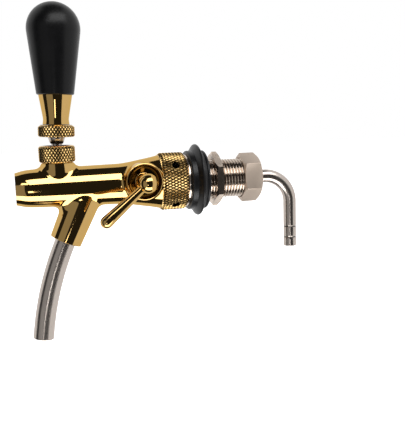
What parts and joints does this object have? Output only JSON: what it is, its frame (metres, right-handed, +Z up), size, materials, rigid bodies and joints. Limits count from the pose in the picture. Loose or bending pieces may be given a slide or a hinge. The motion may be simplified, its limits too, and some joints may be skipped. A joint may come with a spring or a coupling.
{
  "type": "beer tap",
  "caption": "Compensator beer tap: handle-worked plunger valve, curved spout, side flow lever, knurled coupling ring, threaded shank with lock nut, bent hose tube.",
  "frame": {"origin": "on the shank's axis, where the rubber washer meets the tower wall", "axes": "+X along the shank from the tap into the wall, +Z up along the closed handle, flow lever on the -Y side"},
  "size_m": [0.1681, 0.0527, 0.1891],
  "materials": {
    "gold_plate": "mirror-polished gold plate",
    "knob_resin": "semi-gloss moulded resin",
    "bare_brass": "turned, unplated",
    "stainless": "brushed and polished stainless steel",
    "nickel_plate": "satin nickel plate",
    "black_collar": "satin moulded plastic",
    "rubber": "moulded rubber",
    "white_seat": "machined white plastic"
  },
  "bodies": {
    "tap": {"tap_body": "gold_plate", "spout_tube": "stainless", "spout_o_ring": "rubber", "ball_seat_upper": "white_seat", "ball_seat_lower": "white_seat", "lever_o_ring": "rubber", "flow_gland": "gold_plate", "flow_o_ring": "rubber", "coupling_snap_ring": "stainless", "coupling_gasket": "rubber", "shank": "nickel_plate", "rosette_collar": "black_collar", "wall_washer": "rubber", "tube_gasket": "rubber"},
    "handle": {"handle_knob": "knob_resin", "knob_insert": "bare_brass", "knob_stud": "stainless", "handle_ferrule": "gold_plate", "tap_lever": "stainless"},
    "handle_nut": {"handle_lock_nut": "gold_plate"},
    "bonnet": {"lever_bonnet": "gold_plate"},
    "plunger": {"plunger": "stainless", "plunger_o_rings": "rubber", "valve_seal": "rubber", "valve_nut": "stainless"},
    "flow_lever": {"flow_spindle": "gold_plate", "flow_lever_rod": "gold_plate"},
    "compensator": {"compensator_cone": "white_seat"},
    "coupling_ring": {"coupling_ring": "gold_plate"},
    "lock_nut": {"shank_lock_nut": "nickel_plate"},
    "tube_nut": {"tube_nut": "nickel_plate"},
    "hose_tube": {"bent_tube": "stainless"}
  },
  "joints": [
    {"name": "handle_tilt", "type": "hinge", "parent": "tap", "child": "handle", "pos_m": [-0.085, 0, 0.017], "axis": [0, -1, 0], "range_deg": [0, 25]},
    {"name": "plunger_slide", "type": "slide", "parent": "tap", "child": "plunger", "axis": [1, 0, 0], "range_m": [0, 0.0075]},
    {"name": "flow_turn", "type": "hinge", "parent": "tap", "child": "flow_lever", "pos_m": [-0.0387, 0, 0.0019], "axis": [0, 1, 0], "range_deg": [-45, 45]},
    {"name": "compensator_slide", "type": "slide", "parent": "tap", "child": "compensator", "axis": [1, 0, 0], "range_m": [-0.0019, 0.0019]},
    {"name": "bonnet_turn", "type": "hinge", "parent": "tap", "child": "bonnet", "pos_m": [-0.085, 0, 0.019], "axis": [0, 0, 1], "continuous": true},
    {"name": "handle_nut_turn", "type": "hinge", "parent": "handle", "child": "handle_nut", "pos_m": [-0.08454, 0, 0.03159], "axis": [0.0314, 0, 0.9995], "continuous": true},
    {"name": "coupling_ring_turn", "type": "hinge", "parent": "tap", "child": "coupling_ring", "pos_m": [-0.02, 0, 0], "axis": [1, 0, 0], "continuous": true},
    {"name": "lock_nut_travel", "type": "slide", "parent": "tap", "child": "lock_nut", "axis": [1, 0, 0], "range_m": [-0.0044, 0.0132]},
    {"name": "tube_nut_turn", "type": "hinge", "parent": "tap", "child": "tube_nut", "pos_m": [0.028, 0, 0], "axis": [1, 0, 0], "continuous": true},
    {"name": "hose_tube_swivel", "type": "hinge", "parent": "tap", "child": "hose_tube", "pos_m": [0.03, 0, 0], "axis": [1, 0, 0], "continuous": true}
  ],
  "couplings": [
    {"joint": "plunger_slide", "follows": "handle_tilt", "m_per_rad": 0.01665},
    {"joint": "compensator_slide", "follows": "flow_turn", "m_per_rad": 0.002325}
  ]
}
